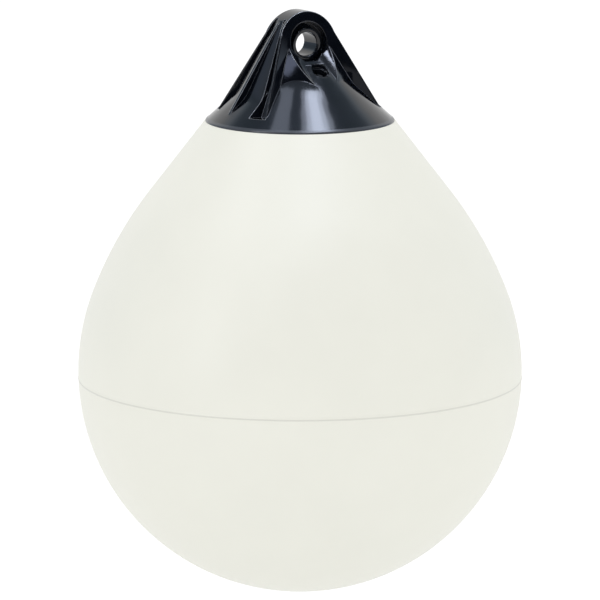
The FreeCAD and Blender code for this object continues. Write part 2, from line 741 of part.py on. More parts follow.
def add_valve_hole(body):
    """Round hole over the valve, with a level face sunk into the skirt round its mouth."""
    hole = new_sketch(body, "ValveHole", "XZ_Plane", VALVE_PLANE)
    beyond = "(valve_face + crown_radius)"
    outline(hole, [
        ("0", "-valve_tail"),
        ("valve_hole", "-valve_tail"),
        ("valve_hole", "valve_face"),
        ("valve_spot", "valve_face"),
        ("valve_spot", beyond),
        ("0", beyond),
    ])
    turned(body, "ValveHoleCut", hole, "Groove")


def add_eye(body):
    """Pocket on each face, the ring round the eye, and the eye's bore."""
    for face in (-1, 1):
        name = "Front" if face < 0 else "Back"
        behind = "(crown_half - pocket_depth * cos(crown_taper))"
        floor = f"vector(0; -pocket_depth * sin(crown_taper); {-face} * {behind})"
        depth_plane = f"placement({floor}; rotation(0; 0; {face} * crown_taper))"
        sketch = new_sketch(body, f"Pocket{name}", "XZ_Plane", depth_plane)
        outline(sketch, [
            ("-pocket_sill", "-pocket_drop"),
            ("pocket_sill", "-pocket_drop"),
            ("pocket_side", "-pocket_hip"),
            ("pocket_side", "pocket_lift"),
            ("0", "pocket_lift + pocket_side"),
            ("-pocket_side", "pocket_lift"),
            ("-pocket_side", "-pocket_hip"),
        ], {3: ("pocket_side", 1), 4: ("pocket_side", 1)})
        cut = pushed(body, f"PocketCut{name}", sketch, "Pocket", "crown_half", both=False)
        cut.Reversed = face < 0
        doc.recompute()
    ring = new_sketch(body, "EyeRing", "XZ_Plane")
    circle(ring, "0", "0", "boss_radius")
    pushed(body, "EyeRingPad", ring, "Pad", "boss_half * 2")
    doc.recompute()
    bore = new_sketch(body, "EyeBore", "XZ_Plane")
    circle(bore, "0", "0", "eye_radius")
    pushed(body, "EyeBoreCut", bore, "Pocket", "crown_half * 4")
    doc.recompute()
    rounded(body, "EyeLips", "eye_lip", at_eye_mouth)


def at_eye_mouth(edge):
    """Whether an edge is one of the eye's two mouths."""
    if edge.Curve.TypeId != "Part::GeomCircle" or abs(edge.Curve.Radius - size("eye_radius")) > SURE:
        return False
    return abs(abs(edge.Curve.Center.y) - size("boss_half")) < SURE


def build_cap():
    """Ribbed cap, moulded as one piece: crown, hub, skirt, wings, slots, fins, ribs and eye."""
    body = new_body("rope_eye_cap")
    add_crown(body)
    doc.recompute()
    add_hub(body)
    doc.recompute()
    add_skirt(body)
    doc.recompute()
    for hand in (1, -1):
        add_web(body, hand)
        doc.recompute()
    for hand in (1, -1):
        cut_recess(body, hand)
        doc.recompute()
    for face in (-1, 1):
        for hand in (-1, 1):
            add_slot(body, face, hand)
            doc.recompute()
    for face in (-1, 1):
        for hand in (-1, 1):
            add_fin(body, face, hand)
            doc.recompute()
    add_ribs(body)
    doc.recompute()
    cut_underside(body)
    doc.recompute()
    add_valve_hole(body)
    doc.recompute()
    add_eye(body)
    doc.recompute()
    return body


parts = [
    build_ball(),
    build_cap(),
    build_valve_body(),
    build_valve_seal(),
    build_valve_screw(),
]
doc.recompute()

faulty = [item.Label for item in doc.Objects if {"Invalid", "Error"} & set(item.State)]
faulty += [
    item.Label
    for item in doc.Objects
    if item.isDerivedFrom("PartDesign::Feature") and not item.Shape.isValid()
]
if faulty:
    raise RuntimeError(f"These objects failed: {faulty}")
for part in parts:
    if part.Shape.isNull() or not part.Shape.isValid() or len(part.Shape.Solids) != 1:
        raise RuntimeError(f"{part.Label} isn't one valid solid")

os.makedirs("parts", exist_ok=True)
for part in parts:
    part.Shape.exportStep(f"parts/{part.Label}.step")
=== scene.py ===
import math

import bmesh
import bpy
import numpy as np
from mathutils import Matrix, Vector


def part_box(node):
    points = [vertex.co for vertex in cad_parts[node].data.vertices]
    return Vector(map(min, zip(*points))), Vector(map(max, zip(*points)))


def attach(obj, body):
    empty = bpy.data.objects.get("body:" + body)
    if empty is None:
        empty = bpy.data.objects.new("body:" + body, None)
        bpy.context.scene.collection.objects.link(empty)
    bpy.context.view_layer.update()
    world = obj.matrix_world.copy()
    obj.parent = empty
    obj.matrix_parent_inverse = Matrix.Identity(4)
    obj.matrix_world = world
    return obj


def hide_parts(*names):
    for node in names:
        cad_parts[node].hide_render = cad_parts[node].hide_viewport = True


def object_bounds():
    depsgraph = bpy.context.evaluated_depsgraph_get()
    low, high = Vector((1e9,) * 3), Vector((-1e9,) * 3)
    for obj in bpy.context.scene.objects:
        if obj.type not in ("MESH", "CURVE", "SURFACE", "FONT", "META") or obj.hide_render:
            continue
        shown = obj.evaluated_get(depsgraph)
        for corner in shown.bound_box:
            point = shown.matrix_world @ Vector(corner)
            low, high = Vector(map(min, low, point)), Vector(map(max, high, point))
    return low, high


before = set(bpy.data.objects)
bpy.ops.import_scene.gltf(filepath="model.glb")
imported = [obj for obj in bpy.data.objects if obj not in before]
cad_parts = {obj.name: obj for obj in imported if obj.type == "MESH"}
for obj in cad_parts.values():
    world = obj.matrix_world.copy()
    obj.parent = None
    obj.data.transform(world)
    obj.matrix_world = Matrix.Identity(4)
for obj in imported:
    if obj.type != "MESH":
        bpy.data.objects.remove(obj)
CAD_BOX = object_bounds()

bl_info = {
    "name": "Ball fender",
    "version": (1, 0, 0),
    "blender": (4, 5, 0),
    "location": "View3D > Sidebar > Ball fender",
    "description": "Builds an air-filled ball fender with its rope-eye cap, and a studio round it",
    "category": "Object",
}

BALL_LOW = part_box("ball_body")[0]

# A millimetre in metres
MM = 0.001

# Steps round the ball and the tent
BALL_TURNS = 192
TENT_TURNS = 64

# Numbers of a Mix node's two colour inputs and of its colour output
MIX_FIRST, MIX_SECOND, MIX_RESULT = 6, 7, 2

# Outward direction of a facet beside the eye, with x and y taken without their signs
FACET_DIRECTION = (0.525, 0.765, -0.37)

# Where the hollow at a facet's foot fades in: axis without sign, place of none, place of full
FOOT_LIMITS = (("X", 0.005, 0.011), ("X", 0.052, 0.047), ("Z", 0.033, 0.036))

# The same, signs and all, for the hollow beside the valve hole, and its foot and top
SCOOP_LIMITS = (("X", -0.004, -0.006), ("X", -0.0195, -0.0175), ("Y", 0.0, -0.005),
                ("Z", -0.016, -0.020), ("Z", -0.044, -0.038))
SCOOP_FOOT, SCOOP_TOP = -0.052, -0.014

# Middle of the valve hole's mouth, and the radii between which painted edge highlights start round
# it
VALVE_MOUTH = (0.0036, -0.0397, -0.0282)
VALVE_NONE, VALVE_FULL = 0.013, 0.015

# Studio: half the floor, the tent's radius, the lamps' distance and the gap between lamps in line
FLOOR_HALF = 12.0
TENT_REACH = 9.0
LAMP_REACH, LAMP_APART = 2.4, 0.04

# Share of the world's white that the floor adds where rays show the background
FLOOR_LIFT = 0.12

# Width of the photograph's frame in pixels
FRAME_WIDTH = 600

# Tent: lean of its axis from level, cosine to that axis where its shades start, the shades from
# there to the opening behind the fender, and the shares of the way where it opens
TENT_LEAN = math.radians(20.0)
TENT_START = -0.3
TENT_SHADES = [(0.0, "0f1012"), (0.15, "26272b"), (0.38, "b4c3d7"), (0.50, "a6b6ce"),
               (0.62, "8c9dac"), (0.73, "95a5b4"), (0.80, "d9e7f5"), (1.0, "e0eaf6")]
OPENING_STARTS, OPENING_FULL = 0.78, 0.86

# Lamps: name, lean and tilt in degrees, width and length in metres, radiance and colour
LAMPS = (
    ("overhead_right", 12.4, 4.8, 0.94, 1.18, 3.5, "dfe9ff"),
    ("overhead_right_core", 12.4, 4.8, 0.63, 1.18, 6.2, "dfe9ff"),
    ("overhead_right_bright", 12.4, 4.8, 0.34, 1.18, 4.2, "dfe9ff"),
    ("overhead_left", -13.5, 4.8, 0.52, 1.18, 2.2, "dfe9ff"),
    ("overhead_front", 5.0, -26.5, 0.5, 0.4, 20.0, "dfe9ff"),
    ("front_high", -15.5, -43.3, 0.6, 0.5, 3.4, "cedbff"),
    ("front_low", 5.0, -86.0, 1.0, 0.5, 0.45, "f2f6ff"),
    ("side_left", -50.2, -69.4, 0.9, 1.9, 2.6, "f2f6ff"),
    ("high_left", -33.0, -16.0, 0.8, 0.6, 9.0, "f2f6ff"),
)


# Sizes and colours


class BallSizes(bpy.types.PropertyGroup):
    """Sizes of the ball, as the solid model has them."""

    radius: bpy.props.FloatProperty(
        name="Radius", description="Radius of the round lower part",
        default=0.26035, unit="LENGTH")
    shoulder_radius: bpy.props.FloatProperty(
        name="Shoulder", description="Profile radius where the ball draws in",
        default=0.470, unit="LENGTH")
    shoulder_start: bpy.props.FloatProperty(
        name="Shoulder start", description="Lean of the side where that radius starts",
        default=math.radians(21.0), subtype="ANGLE")
    neck_angle: bpy.props.FloatProperty(
        name="Neck", description="Lean of the cone below the cap, from upright",
        default=math.radians(37.7), subtype="ANGLE")
    rim_radius: bpy.props.FloatProperty(
        name="Rim", description="Radius of the ball's top edge round the cap",
        default=0.111, unit="LENGTH")
    seam_drop: bpy.props.FloatProperty(
        name="Seam drop", description="Parting line below the ball's centre",
        default=0.007, unit="LENGTH")
    seam_height: bpy.props.FloatProperty(
        name="Seam height", description="How far the parting line stands proud",
        default=0.0004, unit="LENGTH")
    seam_width: bpy.props.FloatProperty(
        name="Seam width", description="Width of the parting line",
        default=0.0016, unit="LENGTH")


class CapSizes(bpy.types.PropertyGroup):
    """Sizes of the cap's rim and of the small roundings that its gloss shows."""

    edge_radius: bpy.props.FloatProperty(
        name="Edge radius", description="Rounding of the cap's edges",
        default=0.0015, unit="LENGTH")
    rim_radius: bpy.props.FloatProperty(
        name="Rim radius", description="Radius of the cap's rim",
        default=0.110, unit="LENGTH")
    # The band is also painted a lighter grey, as the white ball's reflection in the rim.
    rim_width: bpy.props.FloatProperty(
        name="Rim width", description="Width of the matt band round the rim",
        default=0.0035, unit="LENGTH")
    foot_reach: bpy.props.FloatProperty(
        name="Foot reach", description="A facet's plane from the rope eye's middle",
        default=0.0334, unit="LENGTH")
    foot_blend: bpy.props.FloatProperty(
        name="Foot blend", description="Width of the hollow at a facet's foot",
        default=0.010, unit="LENGTH")
    foot_rise: bpy.props.FloatProperty(
        name="Foot rise", description="Height of that hollow against the facet",
        default=0.0014, unit="LENGTH")
    scoop_rise: bpy.props.FloatProperty(
        name="Scoop rise", description="Height of the hollow beside the valve hole",
        default=0.0071, unit="LENGTH")
    # Inside this radius no painted edge highlight is laid.
    eye_clear: bpy.props.FloatProperty(
        name="Eye clear", description="Radius round the rope eye where no edge is rubbed",
        default=0.0285, unit="LENGTH")


class StageSizes(bpy.types.PropertyGroup):
    """Sizes of the studio and its camera."""

    azimuth: bpy.props.FloatProperty(
        name="Azimuth", description="Camera's turn to the left of the front",
        default=math.radians(31.0), subtype="ANGLE")
    elevation: bpy.props.FloatProperty(
        name="Elevation", description="Camera's height above the horizon",
        default=math.radians(10.5), subtype="ANGLE")
    distance: bpy.props.FloatProperty(
        name="Distance", description="Camera from the point it looks at",
        default=6.5, unit="LENGTH")
    scale: bpy.props.FloatProperty(
        name="Scale", description="Picture's pixels per millimetre at the ball's centre",
        default=0.853)
    rise: bpy.props.FloatProperty(
        name="Rise", description="Ball's centre below the picture's middle, in pixels",
        default=70.0)
    clearance: bpy.props.FloatProperty(
        name="Clearance", description="Hanging ball above the floor",
        default=0.25, unit="LENGTH")
    dome: bpy.props.FloatProperty(
        name="Dome", description="Strength of the even light all round", default=1.05)
    room: bpy.props.FloatProperty(
        name="Room", description="How bright the tent shows in glossy surfaces", default=1.1)


class FenderColours(bpy.types.PropertyGroup):
    """Colours as they read on the photograph's object, in sRGB hex."""

    ball: bpy.props.StringProperty(
        name="Ball", description="White vinyl of the ball", default="ecece2")
    seam: bpy.props.StringProperty(
        name="Seam", description="Ball's parting line", default="dadad1")
    cap: bpy.props.StringProperty(
        name="Cap", description="Dark vinyl of the cap", default="0a0d14")
    # Pale colour painted on the cap's open edges as highlights.
    painted_edge_highlight: bpy.props.StringProperty(
        name="Rubbed", description="Cap's rubbed edges", default="9ca1ab")
    # Lighter grey painted on the cap's rim band as the white ball's reflection; the band is also
    # matt.
    rim_reflection_band: bpy.props.StringProperty(
        name="Rim", description="Cap's matt rim", default="393c42")
    valve: bpy.props.StringProperty(
        name="Valve", description="Plastic of the valve", default="101114")
    floor: bpy.props.StringProperty(
        name="Floor", description="Studio floor", default="fafafa")


# Colour and material helpers


def linear(code):
    """Linear RGBA of an sRGB hex value."""
    channels = [int(code[i:i + 2], 16) / 255 for i in (0, 2, 4)]
    return [c / 12.92 if c <= 0.04045 else ((c + 0.055) / 1.055) ** 2.4
            for c in channels] + [1.0]


def add(tree, kind, inputs=None, settings=None, **values):
    """Adds a node and returns it.

    Inputs maps a socket's name or number to another node's output or to a value. Settings are set
    on the node itself, and values on sockets whose names are written with _ for a space.
    """
    node = tree.nodes.new(kind)
    for key, value in (settings or {}).items():
        setattr(node, key, value)
    for key, value in values.items():
        node.inputs[key.replace("_", " ")].default_value = value
    for key, source in (inputs or {}).items():
        if isinstance(source, bpy.types.NodeSocket):
            tree.links.new(source, node.inputs[key])
        else:
            node.inputs[key].default_value = source
    return node


def new_material(name):
    """New material, its empty node tree and the output that gives a piece's own coordinates."""
    material = bpy.data.materials.new(name)
    material.use_nodes = True
    tree = material.node_tree
    tree.nodes.clear()
    coords = add(tree, "ShaderNodeTexCoord")
    return material, tree, coords.outputs["Object"]


def stops(node, places):
    """Sets a colour ramp's stops from (place, hex) pairs."""
    ramp = node.color_ramp
    while len(ramp.elements) < len(places):
        ramp.elements.new(0.5)
    for element, (place_on_ramp, code) in zip(ramp.elements, places):
        element.position = place_on_ramp
        element.color = linear(code)


def mottled(tree, coords, size, detail, dark, light, **values):
    """Noise of a given size, and a colour that follows it between two hex values."""
    noise = add(tree, "ShaderNodeTexNoise", {"Vector": coords},
                Scale=1 / size, Detail=detail, **values)
    tint = add(tree, "ShaderNodeValToRGB", {"Fac": noise.outputs["Fac"]})
    stops(tint, [(0.3, dark), (0.7, light)])
    return noise.outputs["Fac"], tint.outputs["Color"]


def mixed_colour(tree, share, first, second):
    """Colour that goes from the first to the second as the share goes from 0 to 1."""
    mix = add(tree, "ShaderNodeMix", {"Factor": share, MIX_FIRST: first, MIX_SECOND: second},
              {"data_type": "RGBA"})
    return mix.outputs[MIX_RESULT]


def product(tree, factors):
    """Output that is the product of several outputs."""
    result = factors[0]
    for factor in factors[1:]:
        both = add(tree, "ShaderNodeMath", {0: result, 1: factor}, {"operation": "MULTIPLY"})
        result = both.outputs["Value"]
    return result


def within(tree, coords, limits):
    """Share that is 1 inside some limits and fades to 0 past them.

    Each limit is an axis, the place on it where the share is 0 and the place where it is 1.
    """
    parts = add(tree, "ShaderNodeSeparateXYZ", {"Vector": coords})
    fades = [add(tree, "ShaderNodeMapRange", {"Value": parts.outputs[axis]},
                 From_Min=none, From_Max=full) for axis, none, full in limits]
    return product(tree, [fade.outputs["Result"] for fade in fades])


def axis_distance(tree, coords, across):
    """Distance from an axis through the origin. Across has 0 along that axis and 1 across it."""
    flat = add(tree, "ShaderNodeVectorMath", {0: coords, 1: across}, {"operation": "MULTIPLY"})
    length = add(tree, "ShaderNodeVectorMath", {0: flat.outputs["Vector"]},
                 {"operation": "LENGTH"})
    return length.outputs["Value"]


def raised(tree, shape, power, rise, share, normal):
    """Normal of a skin that rises by rise shape^power, as far as a share lets it."""
    curve = add(tree, "ShaderNodeMath", {0: shape, 1: power}, {"operation": "POWER"})
    height = add(tree, "ShaderNodeMath", {0: curve.outputs["Value"], 1: rise},
                 {"operation": "MULTIPLY"})
    bump = add(tree, "ShaderNodeBump", {"Height": height.outputs["Value"], "Normal": normal,
                                        "Strength": share}, Distance=1.0)
    return bump.outputs["Normal"]


def seen_rays(tree):
    """1 for rays that show the background: camera, glossy and transmission rays."""
    path = add(tree, "ShaderNodeLightPath")
    shown = path.outputs["Is Camera Ray"]
    for name in ("Is Glossy Ray", "Is Transmission Ray"):
        most = add(tree, "ShaderNodeMath", {0: shown, 1: path.outputs[name]},
                   {"operation": "MAXIMUM"})
        shown = most.outputs["Value"]
    return shown


# Materials


def white_vinyl_rotomoulded(colours, sizes):
    """Plasticised PVC, rotomoulded and inflated: soft satin white with a fine even skin.

    The eye reads a nearly flat warm white, with a broad soft sheen, a faint waviness from the
    mould, 120 mm across, a very slight mottle from handling, 90 mm across, and a thin greyer line
    along the parting line. The skin's grain is drawn at 1.2 mm, coarser than it is, to show.
    """
    material, tree, coords = new_material("white_vinyl_rotomoulded")
    mottle, tint = mottled(tree, coords, 90 * MM, 3.0, "eaeae0", colours.ball, Roughness=0.55)
    seam_height = BALL_LOW.z + sizes.radius - sizes.seam_drop
    where = add(tree, "ShaderNodeSeparateXYZ", {"Vector": coords})
    above = add(tree, "ShaderNodeMath", {0: where.outputs["Z"], 1: seam_height},
                {"operation": "SUBTRACT"})
    apart = add(tree, "ShaderNodeMath", {0: above.outputs["Value"]}, {"operation": "ABSOLUTE"})
    line = add(tree, "ShaderNodeMapRange", {"Value": apart.outputs["Value"]},
               From_Min=sizes.seam_width * 0.7, From_Max=sizes.seam_width * 0.4)
    colour = mixed_colour(tree, line.outputs["Result"], tint, linear(colours.seam))
    wave = add(tree, "ShaderNodeTexNoise", {"Vector": coords}, Scale=1 / (120 * MM), Detail=1.0)
    swell = add(tree, "ShaderNodeBump", {"Height": wave.outputs["Fac"]},
                Strength=0.05, Distance=2 * MM)
    skin = add(tree, "ShaderNodeTexNoise", {"Vector": coords}, Scale=1 / (1.2 * MM), Detail=2.0)
    grain = add(tree, "ShaderNodeBump",
                {"Height": skin.outputs["Fac"], "Normal": swell.outputs["Normal"]},
                Strength=0.08, Distance=0.1 * MM)
    satin = add(tree, "ShaderNodeMapRange", {"Value": mottle}, To_Min=0.42, To_Max=0.52)
    shader = add(tree, "ShaderNodeBsdfPrincipled",
                 {"Base Color": colour, "Normal": grain.outputs["Normal"],
                  "Roughness": satin.outputs["Result"]}, IOR=1.5)
    add(tree, "ShaderNodeOutputMaterial", {"Surface": shader.outputs["BSDF"]})
    return material


def foot_hollow(tree, sizes, coords, normal):
    """Normal of the hollow moulded at the foot of each facet, where the skirt turns up to it.

    With d the distance outside a facet's plane, the skin rises by rise (1 - d / blend)^2. Sizes
    without their signs in x and y make one plane do for all four facets.
    """
    unsigned = add(tree, "ShaderNodeVectorMath", {0: coords}, {"operation": "ABSOLUTE"})
    outward = add(tree, "ShaderNodeVectorMath",
                  {0: unsigned.outputs["Vector"], 1: FACET_DIRECTION},
                  {"operation": "DOT_PRODUCT"})
    near = add(tree, "ShaderNodeMapRange", {"Value": outward.outputs["Value"]},
               From_Min=sizes.foot_reach + sizes.foot_blend, From_Max=sizes.foot_reach)
    share = within(tree, unsigned.outputs["Vector"], FOOT_LIMITS)
    return raised(tree, near.outputs["Result"], 2.0, sizes.foot_rise, share, normal)


def scoop_hollow(tree, sizes, coords, normal):
    """Normal of the hollow between the valve hole and the horn left of it.

    With t the height from the hollow's foot to its top, from 0 to 1, the skin rises by rise t^1.3.
    """
    where = add(tree, "ShaderNodeSeparateXYZ", {"Vector": coords})
    height = add(tree, "ShaderNodeMapRange", {"Value": where.outputs["Z"]},
                 From_Min=SCOOP_FOOT, From_Max=SCOOP_TOP)
    share = within(tree, coords, SCOOP_LIMITS)
    return raised(tree, height.outputs["Result"], 1.3, sizes.scoop_rise, share, normal)


def crown_highlight_share(tree, coords, facing):
    """Share of painted highlight on the crown's rounded front and back edges.

    It is 1 where the surface there has turned about halfway from the crown's top to its face,
    with the normal's y within 0.08 of 0.6 in size, and 0 past 0.2 from there and lower down.
    """
    parts = add(tree, "ShaderNodeSeparateXYZ", {"Vector": facing})
    turned = add(tree, "ShaderNodeMath", {0: parts.outputs["Y"]}, {"operation": "ABSOLUTE"})
    past = add(tree, "ShaderNodeMath", {0: turned.outputs["Value"], 1: 0.6},
               {"operation": "SUBTRACT"})
    off = add(tree, "ShaderNodeMath", {0: past.outputs["Value"]}, {"operation": "ABSOLUTE"})
    near = add(tree, "ShaderNodeMapRange", {"Value": off.outputs["Value"]},
               From_Min=0.2, From_Max=0.08)
    high = within(tree, coords, (("Z", 0.010, 0.016),))
    return product(tree, [near.outputs["Result"], high])


def painted_highlight_share(tree, sizes, coords, rounded):
    """Share of painted highlight: 1 on open edges, 0 on faces and in recesses, the eye and the
    valve hole.

    An edge is where the rounded normal turns from the face's own, from a cosine of 0.99 to 0.88.
    It is open where little stands within 10 mm of it; these edges are painted pale as highlights.
    """
    facing = add(tree, "ShaderNodeNewGeometry").outputs["Normal"]
    turned = add(tree, "ShaderNodeVectorMath", {0: rounded, 1: facing},
                 {"operation": "DOT_PRODUCT"})
    edge = add(tree, "ShaderNodeMapRange", {"Value": turned.outputs["Value"]},
               From_Min=0.99, From_Max=0.88)
    space = add(tree, "ShaderNodeAmbientOcclusion", settings={"samples": 6}, Distance=10 * MM)
    unoccluded = add(tree, "ShaderNodeMapRange", {"Value": space.outputs["AO"]},
               From_Min=0.6, From_Max=0.95)
    beyond_eye = add(tree, "ShaderNodeMapRange", {"Value": axis_distance(tree, coords, (1, 0, 1))},
                     From_Min=sizes.eye_clear - 2 * MM, From_Max=sizes.eye_clear)
    mouth = add(tree, "ShaderNodeVectorMath", {0: coords, 1: VALVE_MOUTH},
                {"operation": "DISTANCE"})
    beyond_hole = add(tree, "ShaderNodeMapRange", {"Value": mouth.outputs["Value"]},
                      From_Min=VALVE_NONE, From_Max=VALVE_FULL)
    edges = product(tree, [part.outputs["Result"]
                           for part in (edge, unoccluded, beyond_eye, beyond_hole)])
    crown = crown_highlight_share(tree, coords, facing)
    most = add(tree, "ShaderNodeMath", {0: edges, 1: crown}, {"operation": "MAXIMUM"})
    return most.outputs["Value"]


def navy_vinyl_moulded(colours, sizes):
    """Solid plasticised PVC, moulded in a polished mould and coloured near-black navy: glossy.

    The eye reads deep blue-black with long soft reflections, a slight unevenness in the gloss,
    20 to 30 mm across, thin pale lines painted along the open edges as highlights, and a matt
    band round the rim painted a lighter grey as the white ball's reflection in it.
    """
    material, tree, coords = new_material("navy_vinyl_moulded")
    cloud, tint = mottled(tree, coords, 20 * MM, 3.0, "06090f", colours.cap)
    # Rim band: rougher, and painted a lighter grey as the white ball's reflection in it.
    band_start = sizes.rim_radius - sizes.rim_width
    rim_reflection_band = add(tree, "ShaderNodeMapRange", {"Value": axis_distance(tree, coords, (1, 1, 0))},
              From_Min=band_start, From_Max=band_start + 0.8 * MM).outputs["Result"]
    gloss = add(tree, "ShaderNodeMapRange", {"Value": cloud}, To_Min=0.09, To_Max=0.13)
    matt = add(tree, "ShaderNodeMath", {0: rim_reflection_band, 1: 0.13}, {"operation": "MULTIPLY"})
    roughness = add(tree, "ShaderNodeMath",
                    {0: gloss.outputs["Result"], 1: matt.outputs["Value"]}, {"operation": "ADD"})
    rounded = add(tree, "ShaderNodeBevel", settings={"samples": 8},
                  Radius=sizes.edge_radius).outputs["Normal"]
    hollow = foot_hollow(tree, sizes, coords, rounded)
    hollow = scoop_hollow(tree, sizes, coords, hollow)
    wave = add(tree, "ShaderNodeTexNoise", {"Vector": coords}, Scale=1 / (30 * MM), Detail=1.0)
    swell = add(tree, "ShaderNodeBump", {"Height": wave.outputs["Fac"], "Normal": hollow},
                Strength=0.06, Distance=1 * MM)
    colour = mixed_colour(tree, rim_reflection_band, tint, linear(colours.rim_reflection_band))
    # Pale lines painted on open edges and on the crown's rounded edges as highlights.
    painted_edge_highlight = painted_highlight_share(tree, sizes, coords, rounded)
    colour = mixed_colour(tree, painted_edge_highlight, colour, linear(colours.painted_edge_highlight))
    shader = add(tree, "ShaderNodeBsdfPrincipled",
                 {"Base Color": colour, "Normal": swell.outputs["Normal"],
                  "Roughness": roughness.outputs["Value"]}, IOR=1.5)
    add(tree, "ShaderNodeOutputMaterial", {"Surface": shader.outputs["BSDF"]})
    return material


def acetal_turned(colours):
    """Black acetal of the valve, turned: the eye reads a dull black with a fine matt skin."""
    material, tree, coords = new_material("acetal_turned")
    skin, tint = mottled(tree, coords, 1 * MM, 2.0, "0d0e11", colours.valve)
    grain = add(tree, "ShaderNodeBump", {"Height": skin}, Strength=0.2, Distance=0.1 * MM)
    shader = add(tree, "ShaderNodeBsdfPrincipled",
                 {"Base Color": tint, "Normal": grain.outputs["Normal"]},
                 Roughness=0.45, IOR=1.48)
    add(tree, "ShaderNodeOutputMaterial", {"Surface": shader.outputs["BSDF"]})
    return material


def nitrile_rubber_pressed():
    """Nitrile rubber of the sealing washer, pressed: the eye reads a matt black."""
    material, tree, coords = new_material("nitrile_rubber_pressed")
    _, tint = mottled(tree, coords, 0.8 * MM, 2.0, "0b0b0c", "141415")
    shader = add(tree, "ShaderNodeBsdfPrincipled", {"Base Color": tint}, Roughness=0.8, IOR=1.52)
    add(tree, "ShaderNodeOutputMaterial", {"Surface": shader.outputs["BSDF"]})
    return material


def studio_floor_painted(colours):
    """Matt white paint with a faint speckle, lifted to white where rays show the background."""
    material, tree, coords = new_material("studio_floor_painted")
    _, tint = mottled(tree, coords, 25 * MM, 2.0, "f8f8f8", colours.floor)
    shader = add(tree, "ShaderNodeBsdfPrincipled", {"Base Color": tint}, Roughness=0.9)
    lift = add(tree, "ShaderNodeMath", {0: seen_rays(tree), 1: FLOOR_LIFT},
               {"operation": "MULTIPLY"})
    glow = add(tree, "ShaderNodeEmission", {"Strength": lift.outputs["Value"]})
    both = add(tree, "ShaderNodeAddShader",
               {0: shader.outputs["BSDF"], 1: glow.outputs["Emission"]})
    add(tree, "ShaderNodeOutputMaterial", {"Surface": both.outputs["Shader"]})
    return material


def studio_cloth_graded(sizes, level):
    """Glowing tent cloth, graded from near black towards the camera to an opening behind.

    The shade follows the cosine between a point's direction and the tent's axis, which leads away
    from the camera and leans up from level.
    """
    middle = level * math.cos(TENT_LEAN) + Vector((0, 0, 1)) * math.sin(TENT_LEAN)
    material, tree, coords = new_material("studio_cloth_graded")
    away = add(tree, "ShaderNodeVectorMath", {0: coords}, {"operation": "NORMALIZE"})
    facing = add(tree, "ShaderNodeVectorMath", {0: away.outputs["Vector"], 1: middle},
                 {"operation": "DOT_PRODUCT"})
    share = add(tree, "ShaderNodeMapRange", {"Value": facing.outputs["Value"]},
                From_Min=TENT_START).outputs["Result"]
    shade = add(tree, "ShaderNodeValToRGB", {"Fac": share})
    stops(shade, TENT_SHADES)
    glow = add(tree, "ShaderNodeEmission", {"Color": shade.outputs["Color"]}, Strength=sizes.room)
    opening = add(tree, "ShaderNodeMapRange", {"Value": share},
                  From_Min=OPENING_STARTS, From_Max=OPENING_FULL)
    clear = add(tree, "ShaderNodeBsdfTransparent")
    wall = add(tree, "ShaderNodeMixShader", {"Fac": opening.outputs["Result"],
                                             1: glow.outputs["Emission"], 2: clear.outputs["BSDF"]})
    add(tree, "ShaderNodeOutputMaterial", {"Surface": wall.outputs["Shader"]})
    material.cycles.emission_sampling = "NONE"
    return material


# Mesh helpers


def closed_grid(name, points):
    """Mesh of quads on a grid of points, rows by columns, with the columns closed round."""
    rows, columns = points.shape[:2]
    number = np.arange(rows * columns).reshape(rows, columns)
    across = np.roll(number, -1, axis=1)
    corners = [number[:-1], across[:-1], across[1:], number[1:]]
    quads = np.stack(corners, axis=-1).reshape(-1, 4)
    mesh = bpy.data.meshes.new(name)
    mesh.vertices.add(rows * columns)
    mesh.vertices.foreach_set("co", points.reshape(-1))
    mesh.loops.add(quads.size)
    mesh.loops.foreach_set("vertex_index", quads.reshape(-1))
    mesh.polygons.add(len(quads))
    mesh.polygons.foreach_set("loop_start", np.arange(len(quads)) * 4)
    mesh.update(calc_edges=True)
    return mesh


def revolve(name, profile, turns):
    """Surface that a profile of (radius, height) pairs sweeps about the Z axis.

    A point is (r cos t, r sin t, z) with t stepping evenly round. Points on the axis are merged
    into one pole when the mesh is finished.
    """
    turn = np.linspace(0, 2 * math.pi, turns, endpoint=False)
    radius = profile[:, 0][:, None]
    points = np.stack([radius * np.cos(turn), radius * np.sin(turn),
                       np.repeat(profile[:, 1][:, None], turns, axis=1)], axis=-1)
    return closed_grid(name, points)


def finish_mesh(mesh, merge, sharp):
    """Merges doubles, makes the faces point outwards and shades smooth below an angle."""
    work = bmesh.new()
    work.from_mesh(mesh)
    bmesh.ops.remove_doubles(work, verts=work.verts, dist=merge)
    bmesh.ops.recalc_face_normals(work, faces=work.faces)
    work.to_mesh(mesh)
    work.free()
    if "custom_normal" in mesh.attributes:
        mesh.attributes.remove(mesh.attributes["custom_normal"])
    mesh.shade_smooth()
    mesh.set_sharp_from_angle(angle=sharp)


def place(mesh, name, material):
    """Object for a mesh, at the origin, in the scene and riding on the root body."""
    piece = bpy.data.objects.new(name, mesh)
    bpy.context.scene.collection.objects.link(piece)
    mesh.materials.clear()
    mesh.materials.append(material)
    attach(piece, "root")
    return piece


def arc(centre, radius, start, end, count):
    """Points (r, z) on a profile arc: centre + radius (cos a, sin a), a from start to end."""
    angle = np.linspace(start, end, count)
    return np.stack([centre[0] + radius * np.cos(angle), centre[1] + radius * np.sin(angle)],
                    axis=1)


# Operators


